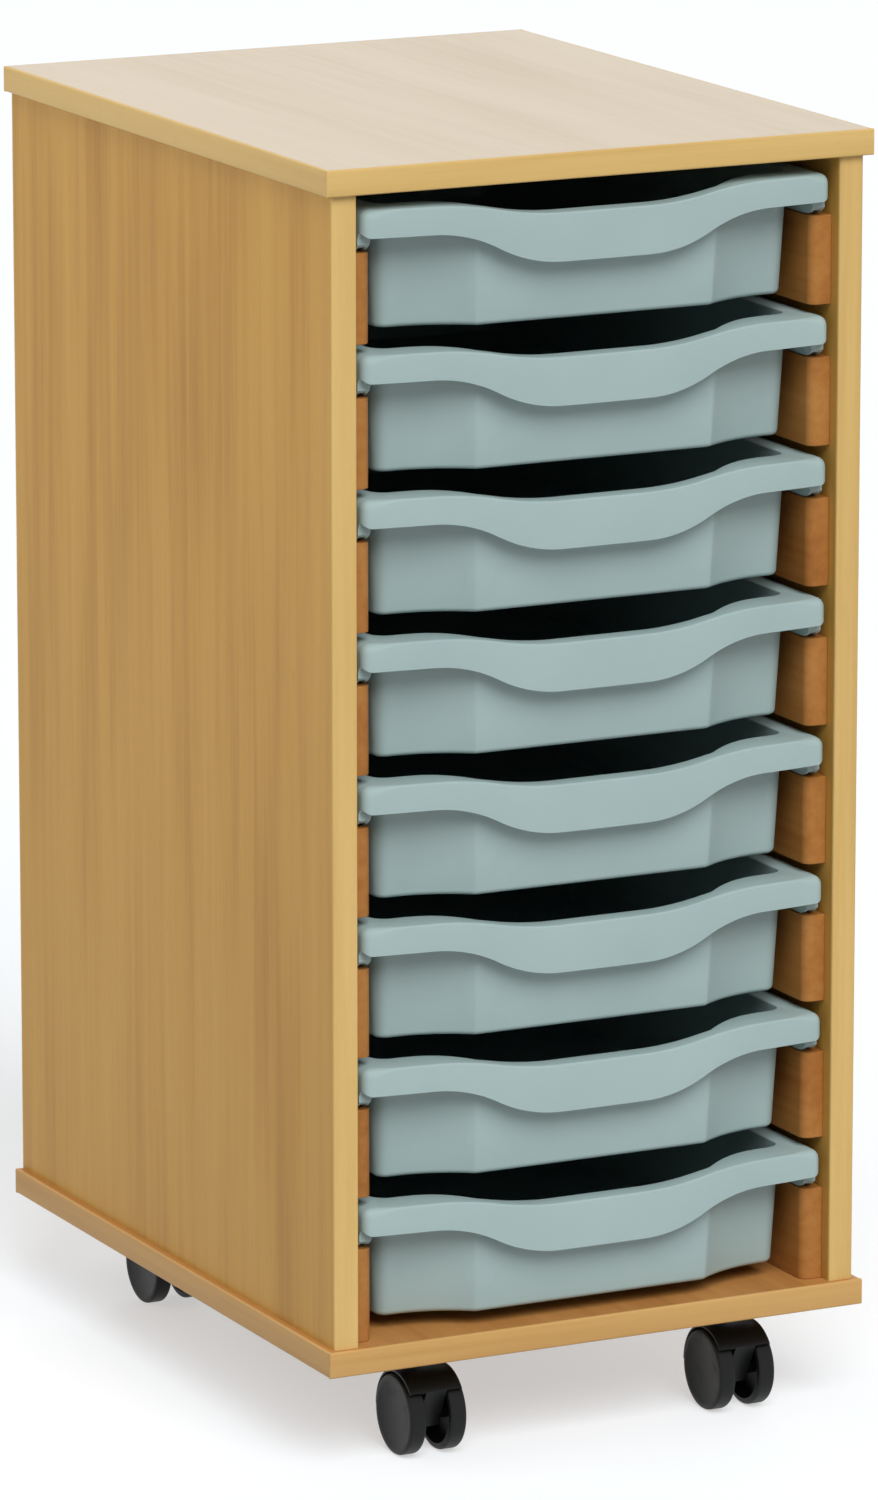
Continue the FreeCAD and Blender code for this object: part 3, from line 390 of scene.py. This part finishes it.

# --- Runner blocks -------------------------------------------------------------------------
# Foil-wrapped blocks screwed to the inside of the side panels, with a soft front corner. Their
# beech colour is darker and redder than the foil's as painted shade and warm bounce light inside
# the carcase.

block_edge = 0.0006
sharp_angle = 30.0
tray_numbers = range(1, 9)
# Darker and redder than the foil: painted shade and warm bounce light inside the carcase, over the
# beech's own tone.
runner_painted_shade_light = srgb(178, 125, 69)
runner_painted_shade_mid = srgb(166, 111, 56)
runner_painted_shade_dark = srgb(146, 91, 42)
runner_foil_painted_shade = beech("runner_foil_painted_shade", lengthwise, runner_painted_shade_light, runner_painted_shade_mid, runner_painted_shade_dark)
for side in ("left", "right"):
    for number in tray_numbers:
        node = f"{side}_runner_{number}"
        block = settled(f"{node}_block", nodes[node].data.copy(), block_edge, sharp_angle)
        stand_in(block, node, runner_foil_painted_shade)

# --- Trays ---------------------------------------------------------------------------------
# Each tray is one grey moulding: a tub with sloping walls, a rim whose skirt deepens in front
# into a waved lip, and two hollow rails under the rim that ride on the runner blocks.

tray_low, tray_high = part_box("tray_1")
lip_bow = 0.010
rim_half = (tray_high.x - tray_low.x) / 2
rim_length = tray_high.y - tray_low.y - lip_bow
rim_height = tray_high.z - tray_low.z
wall = 0.002
rim_corner = 0.006
skirt_depth = 0.017
rail_foot = rim_height - 0.026
rail_inset = 0.008
rail_width = 0.0125
rail_slant = 0.0045
wave_outer = 0.112
wave_inner = 0.029
wave_rise = 0.0085
wave_drop = 0.021
tub_half = 0.136
tub_corner = 0.008
tub_back_corner = 0.014
tub_back = rim_length - 0.012
bay_half = 0.0785
bay_front = 0.0065
corner_front = 0.023
crease_round = 0.004
draft = math.radians(3.5)
foot_round = 0.003
floor_round = 0.002
mouth_round = 0.001
lip_round = 0.0012
side_round = 0.006
side_round_start = 0.132
side_round_run = 0.020
skirt_turn = 0.003
nose_length = 0.009
nose_rise = 0.0045
tray_edge = 0.0005
# Columns of the mesh in each stretch of the right half, from the front middle to the back.
bay_columns, crease_columns, sweep_columns = 20, 5, 26
corner_columns, side_columns, back_columns = 8, 9, 8
# Where rows of the mesh lie between the ends of a stretch: up the tub's outside, out under the
# rim and down the inside.
outer_parts = (0.35, 0.7, 1.0)
web_parts = (0.25, 0.5)
inner_parts = (0.3, 0.65)
# What lies over each place along a side: the rim alone, a rail's end wall or its hollow.
rim_alone, end_wall, rail_hollow = 0, 1, 2


def wave(sideways, depth):
    """How far a waved edge has dipped: two equal arcs on each side, from level ends at
    wave_outer to a level middle at wave_inner. Their radius is the sum of the squares of span
    and depth, over four times the depth."""
    span = wave_outer - wave_inner
    radius = (span ** 2 + depth ** 2) / (4 * depth)
    away = np.clip(np.abs(sideways), wave_inner, wave_outer)
    near = depth - radius + np.sqrt(radius ** 2 - (away - wave_inner) ** 2)
    far = radius - np.sqrt(radius ** 2 - (wave_outer - away) ** 2)
    return np.where(away < (wave_outer + wave_inner) / 2, near, far)


def arc(centre, radius, start, end, count):
    """Points of an arc without its last one, from its centre, radius and angles from +X."""
    angle = np.linspace(start, end, count, endpoint=False)
    return np.stack([centre[0] + radius * np.cos(angle), centre[1] + radius * np.sin(angle)], 1)


def run(start, end, count):
    """Points of a straight run without its last one, evenly spaced from start to end."""
    part = np.linspace(0.0, 1.0, count, endpoint=False)[:, None]
    return np.array(start) * (1 - part) + np.array(end) * part


def all_round(*stretches):
    """A closed outline from the stretches of its right half, which starts at the front
    middle and stops short of the back middle; the left half mirrors it."""
    half = np.concatenate(stretches)
    back_middle = [[0.0, half[-1, 1]]]
    return np.concatenate([half, back_middle, half[:0:-1] * (-1, 1)])


def rim(inset):
    """The rim's outline from above, drawn in by an inset: a bowed front and rounded corners.
    The bow's radius is the sum of the squares of half its width and its rise, over twice its
    rise, and so is that of the tub's sweeps."""
    end = rim_half - rim_corner
    bow = (end ** 2 + lip_bow ** 2) / (2 * lip_bow)
    middle = (0.0, bow - lip_bow)
    reach = math.asin(end / bow)
    crease = math.asin((bay_half - crease_round / 2) / bow)
    sweep = math.asin((bay_half + crease_round / 2) / bow)
    down, side, up = -math.pi / 2, 0.0, math.pi / 2
    steps = rail_steps(rim_corner, rim_length - rim_corner)
    edge = np.stack([np.full(len(steps), rim_half - inset), steps], 1)
    corner = rim_corner - inset
    return all_round(
        arc(middle, bow - inset, down, down + crease, bay_columns),
        arc(middle, bow - inset, down + crease, down + sweep, crease_columns),
        arc(middle, bow - inset, down + sweep, down + reach, sweep_columns),
        arc((end, rim_corner), corner, down, side, corner_columns),
        edge,
        arc((end, rim_length - rim_corner), corner, side, up, corner_columns),
        run((end, rim_length - inset), (0.0, rim_length - inset), back_columns))


def rail_steps(front, back):
    """Places along a side: its ends, a doubled place at each face of the rail's end walls,
    which lie a little in from the ends, and closer places along the rail's two noses."""
    ends = rail_inset - rim_corner
    near, far = front + ends + wall, back - ends - wall
    nose = np.array([nose_length / 4, nose_length / 2])
    inner = np.concatenate([[near], near + nose,
                            np.linspace(near + nose_length, far - nose_length, side_columns),
                            far - nose[::-1], [far]])
    return np.concatenate([[front, front + ends, front + ends], inner[:1], inner,
                           inner[-1:], [back - ends, back - ends, back]])


def tub(grow):
    """The tub's outline from above, grown outwards: a flat bay between two rounded creases,
    hollow sweeps back to the corners, straight sides and a straight back."""
    arc_end = tub_half - tub_corner
    rise = corner_front - bay_front
    sweep = ((arc_end - bay_half) ** 2 + rise ** 2) / (2 * rise)
    hollow = (arc_end, corner_front - sweep)
    turn = math.acos(1 - rise / (sweep + crease_round))
    crease = (arc_end - (sweep + crease_round) * math.sin(turn), bay_front + crease_round)
    up, side, down = math.pi / 2, 0.0, -math.pi / 2
    front = (arc_end, corner_front + tub_corner)
    rear = (tub_half - tub_back_corner, tub_back - tub_back_corner)
    steps = rail_steps(rim_corner, rim_length - rim_corner)
    part = (steps - steps[0]) / (steps[-1] - steps[0])
    edge = np.stack([np.full(len(steps), tub_half + grow),
                     front[1] + part * (rear[1] - front[1])], 1)
    bay = run((0.0, bay_front - grow), (crease[0], bay_front - grow), bay_columns)
    return all_round(
        bay,
        arc(crease, crease_round + grow, down, down + turn, crease_columns),
        arc(hollow, sweep - grow, up + turn, up, sweep_columns),
        arc(front, tub_corner + grow, down, side, corner_columns),
        edge,
        arc(rear, tub_back_corner + grow, side, up, corner_columns),
        run((rear[0], tub_back + grow), (0.0, tub_back + grow), back_columns))


def tray_rows():
    """The tray's skin as rows of points, from the middle of the underside, out and up under
    the rim, round the rail or skirt, over the rim and down the inside to the floor."""
    outline = rim(0.0)
    front = outline[:, 1] < rim_corner + merge_distance
    kinds = np.full(len(rail_steps(0.0, 1.0)), rail_hollow)
    kinds[[0, 1, -2, -1]] = rim_alone
    kinds[[2, 3, -4, -3]] = end_wall
    first = bay_columns + crease_columns + sweep_columns + corner_columns
    last = first + len(kinds)
    right = slice(first, last)
    left = slice(1 - last, len(outline) + 1 - first)
    side = np.full(len(outline), rim_alone)
    side[right] = kinds
    side[left] = kinds[::-1]
    beside = np.zeros((len(outline), 1), bool)
    beside[right] = beside[left] = True
    railed = side != rim_alone
    hollow = side == rail_hollow

    def top(flat):
        return rim_height - front * wave(flat[:, 0], wave_rise)

    away = np.minimum(outline[:, 1] - rail_inset, rim_length - rail_inset - outline[:, 1])
    keel = rail_foot + nose_rise * np.clip(1 - away / nose_length, 0, 1) ** 2

    def foot(flat):
        round_corner = np.abs(outline[:, 0]) - rim_half + rim_corner
        turned = np.clip(round_corner / rim_corner, 0, 1) ** 2
        skirt = rim_height - skirt_depth - front * wave(flat[:, 0], wave_drop)
        return np.where(railed, keel, skirt + skirt_turn * turned * front)

    def row(flat, height):
        return np.column_stack([flat, np.broadcast_to(height, len(flat))])

    slope = math.tan(draft)
    inner_wall = wall / math.cos(draft)
    rows = []
    for angle in quarter_round:
        height = foot_round * (1 - math.cos(angle))
        grow = height * slope - foot_round * (1 - math.sin(angle))
        rows.append(row(tub(grow), height))
    under = top(tub(rim_height * slope)) - wall
    for part in outer_parts:
        height = foot_round + (under - foot_round) * part
        shell = tub(rim_height * slope) * part + tub(foot_round * slope) * (1 - part)
        rows.append(row(shell, height))
    root = rows[-1][:, :2]
    skirt = rim(wall)
    roof = top(skirt) - wall
    webs = [root * (1 - part) + skirt * part for part in web_parts]

    def rail(distance, plain):
        """The rim's outline drawn in along the rails, and another outline elsewhere."""
        drawn = outline.copy()
        drawn[:, 0] -= np.sign(outline[:, 0]) * distance
        return np.where(beside, drawn, plain)

    inner_foot = rail_width - rail_slant
    rows.append(row(rail(rail_width, webs[0]), top(webs[0]) - wall))
    flat = rail(inner_foot, webs[0])
    rows.append(row(flat, np.where(railed, keel, top(webs[0]) - wall)))
    flat = rail(inner_foot - wall, webs[1])
    rows.append(row(flat, np.where(railed, keel, top(webs[1]) - wall)))
    flat = np.where(hollow[:, None], rail(rail_width - wall, webs[1]), flat)
    rows.append(row(flat, np.where(hollow, roof, rows[-1][:, 2])))
    flat = rail(wall, skirt)
    rows.append(row(flat, np.where(side == end_wall, keel, roof)))
    rows.append(row(flat, foot(flat)))
    rows.append(row(outline, foot(outline)))
    ease = np.clip((np.abs(outline[:, 0]) - side_round_start) / side_round_run, 0.0, 1.0)
    softer = np.where(front, ease ** 2 * (3 - 2 * ease), 1)
    rounding = lip_round + (side_round - lip_round) * softer
    inwards = (rim(wall) - outline) / wall
    for angle in quarter_round:
        inset = rounding * (1 - math.cos(angle))
        height = top(outline) - rounding * (1 - math.sin(angle))
        rows.append(row(outline + inwards * inset[:, None], height))
    mouth = rim_height * slope - inner_wall
    for angle in quarter_round:
        grow = mouth + mouth_round * (1 - math.sin(angle))
        flat = tub(grow)
        rows.append(row(flat, top(flat) - mouth_round * (1 - math.cos(angle))))
    low = wall + floor_round
    for part in inner_parts:
        shell = tub(mouth) * (1 - part) + tub(low * slope - inner_wall) * part
        rows.append(row(shell, (top(shell) - mouth_round) * (1 - part) + low * part))
    for angle in quarter_round:
        height = wall + floor_round * (1 - math.sin(angle))
        grow = height * slope - inner_wall - floor_round * (1 - math.cos(angle))
        rows.append(row(tub(grow), height))
    return np.array(rows)


tray_grey = srgb(163, 183, 181)
tray_shade = srgb(149, 170, 170)
cloud_count = 14.0
peel_count = 1400.0
peel_depth, peel_strength = 0.00003, 0.3
tray_gloss, tray_gloss_spread = 0.40, 0.12
tray_shine = 0.45
tray_surface = Surface("tray_plastic")
cloud = tray_surface.noise(tray_surface.place, cloud_count, detail=3.0, roughness=0.55)
orange_peel = tray_surface.noise(tray_surface.place, peel_count, detail=2.0, roughness=0.5)
tray_surface.finish(tray_surface.blend(cloud, tray_shade, tray_grey),
                    tray_gloss + cloud * tray_gloss_spread, orange_peel, peel_depth,
                    peel_strength, Specular_IOR_Level=tray_shine)

tray_points = tray_rows()
for number in tray_numbers:
    name = f"tray_{number}"
    low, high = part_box(name)
    place = np.array([(low.x + high.x) / 2, low.y + lip_bow, low.z])
    moulding = skin(f"{name}_moulding", tray_points + place, tray_edge, sharp_angle)
    stand_in(moulding, name, tray_surface.material)

# --- Castors -------------------------------------------------------------------------------
# Twin wheels and their hooded housing are moulded in black nylon, with a faint grain on the
# faces and a satin tread. The plate, pin and axle are zinc-plated steel.

moulded_edge = 0.0004
nylon_black = srgb(13, 14, 13)
nylon_worn = srgb(25, 26, 23)
nylon_shine = 0.25
scuff_count = 90.0
scuff_low, scuff_high = 0.52, 0.78
scuff_share, scuff_gloss = 0.6, 0.14
speckle_depth, speckle_strength = 0.00003, 0.35
spangle_count = 260.0
spangle_depth, spangle_strength = 0.00002, 0.3
steel_gloss, steel_gloss_spread = 0.28, 0.2
steel_bright = srgb(214, 216, 218)
steel_dull = srgb(176, 179, 182)


def nylon(name, grain, gloss):
    """Black nylon: a fine moulded grain, a little paler where it is scuffed."""
    surface = Surface(name)
    wear = surface.noise(surface.place, scuff_count, detail=4.0, roughness=0.6)
    scuffs = wear.between(scuff_low, scuff_high)
    speckle = surface.noise(surface.place, grain, detail=2.0, roughness=0.5)
    return surface.finish(surface.blend(scuffs * scuff_share, nylon_black, nylon_worn),
                          gloss + scuffs * scuff_gloss, speckle, speckle_depth,
                          speckle_strength, Specular_IOR_Level=nylon_shine)


def steel(name, bright, dull):
    """Zinc-plated steel with a soft cloudy spangle."""
    surface = Surface(name)
    spangle = surface.noise(surface.place, spangle_count, detail=3.0, roughness=0.6)
    return surface.finish(surface.blend(spangle, dull, bright),
                          steel_gloss + spangle * steel_gloss_spread, spangle, spangle_depth,
                          spangle_strength, Metallic=1.0)


housing_nylon = nylon("castor_nylon", grain=1500.0, gloss=0.38)
wheel_nylon = nylon("wheel_nylon", grain=1100.0, gloss=0.44)
castor_steel = steel("castor_steel", steel_bright, steel_dull)
for corner in ("front_left", "front_right", "back_left", "back_right"):
    castor = f"{corner}_castor"
    dress((f"{castor}_plate", f"{castor}_pin", f"{castor}_axle"), castor_steel)
    for node, material, slot in ((f"{castor}_housing", housing_nylon, "castor_nylon"),
                                 (f"{castor}_left_wheel", wheel_nylon, "wheel_nylon"),
                                 (f"{castor}_right_wheel", wheel_nylon, "wheel_nylon")):
        mesh = nodes[node].data.copy()
        moulding = settled(f"{node}_moulding", mesh, moulded_edge, sharp_angle)
        stand_in(moulding, node, material)

# --- Screws --------------------------------------------------------------------------------
# Sixteen wood screws, four to a castor plate, driven up into the base. They are steel with a
# passivated zinc plating, a little yellower than that of the plates.

screw_bright = srgb(206, 204, 190)
screw_dull = srgb(168, 164, 146)
dress(("castor_screws",), steel("screw_steel", screw_bright, screw_dull))

# --- Room ----------------------------------------------------------------------------------
# A plain pale floor under soft light: a wide key lamp above the front, a fill behind and a panel
# lamp on the left. The camera, and what mirrors or lets light through, sees floor and room as
# white; the rest gets a plain level.

floor_half = 40.0
floor_level = 0.55
floor_tint = (0.465, 0.505, 0.54, 1.0)
floor_glow_tint = (1.0, 0.98, 0.965, 1.0)
floor_glow = 0.53
room_light = 0.26
soft_sun = math.radians(40)
panel_lamp_size = 0.6
panel_lamp_place = (-1.2, 0.05, 1.05)

floor_mesh = bpy.data.meshes.new("floor")
floor_corners = [(-floor_half, -floor_half, 0), (floor_half, -floor_half, 0),
                 (floor_half, floor_half, 0), (-floor_half, floor_half, 0)]
floor_mesh.from_pydata(floor_corners, [], [(0, 1, 2, 3)])
floor = bpy.data.objects.new("floor", floor_mesh)
bpy.context.scene.collection.objects.link(floor)


def looked_at(tree):
    """1 for the rays that show the room and 0 for those that carry its light."""
    path = tree.nodes.new("ShaderNodeLightPath")
    total = path.outputs["Is Camera Ray"]
    for kind in ("Glossy", "Transmission"):
        plus = tree.nodes.new("ShaderNodeMath")
        tree.links.new(total, plus.inputs[0])
        tree.links.new(path.outputs[f"Is {kind} Ray"], plus.inputs[1])
        total = plus.outputs[0]
    return total


floor_surface = Surface("floor")
floor_surface.finish((floor_level, floor_level, floor_level, 1.0), roughness=0.8,
                     Specular_IOR_Level=0.0)
white = floor_surface.node("BsdfPrincipled", {}, {
    "Base Color": floor_tint, "Roughness": 0.9, "Specular IOR Level": 0.0,
    "Emission Color": floor_glow_tint, "Emission Strength": floor_glow})
floor_tree = floor_surface.tree
shown = floor_tree.nodes.new("ShaderNodeMixShader")
floor_tree.links.new(looked_at(floor_tree), shown.inputs["Fac"])
floor_tree.links.new(floor_surface.shader.outputs[0], shown.inputs[1])
floor_tree.links.new(white.socket, shown.inputs[2])
floor_tree.links.new(shown.outputs[0], floor_tree.nodes["Material Output"].inputs["Surface"])
floor_mesh.materials.append(floor_surface.material)

world = bpy.data.worlds.new("room")
bpy.context.scene.world = world
world.use_nodes = True
room_tree = world.node_tree
level = room_tree.nodes.new("ShaderNodeMath")
level.operation = "MULTIPLY_ADD"
level.inputs[1].default_value = 1.0 - room_light
level.inputs[2].default_value = room_light
room_tree.links.new(looked_at(room_tree), level.inputs[0])
background = room_tree.nodes["Background"]
background.inputs["Color"].default_value = (1.0, 1.0, 1.0, 1.0)
room_tree.links.new(level.outputs[0], background.inputs["Strength"])


def lamp(name, kind, azimuth, elevation, strength):
    """A lamp that shines from an azimuth and elevation, in degrees, and that neither the
    camera nor a satin face shows."""
    light = bpy.data.lights.new(name, kind)
    light.energy = strength
    hung = bpy.data.objects.new(name, light)
    bpy.context.scene.collection.objects.link(hung)
    hung.rotation_euler = (math.radians(90 - elevation), 0.0, math.radians(azimuth))
    hung.visible_camera = False
    hung.visible_glossy = False
    return hung


key_light = lamp("key_light", "SUN", azimuth=-10, elevation=45, strength=2.8)
key_light.data.angle = soft_sun
fill_light = lamp("fill_light", "SUN", azimuth=140, elevation=12, strength=1.2)
fill_light.data.angle = soft_sun
side_light = lamp("side_light", "AREA", azimuth=-90, elevation=15, strength=3.8)
side_light.data.size = panel_lamp_size
side_light.location = panel_lamp_place
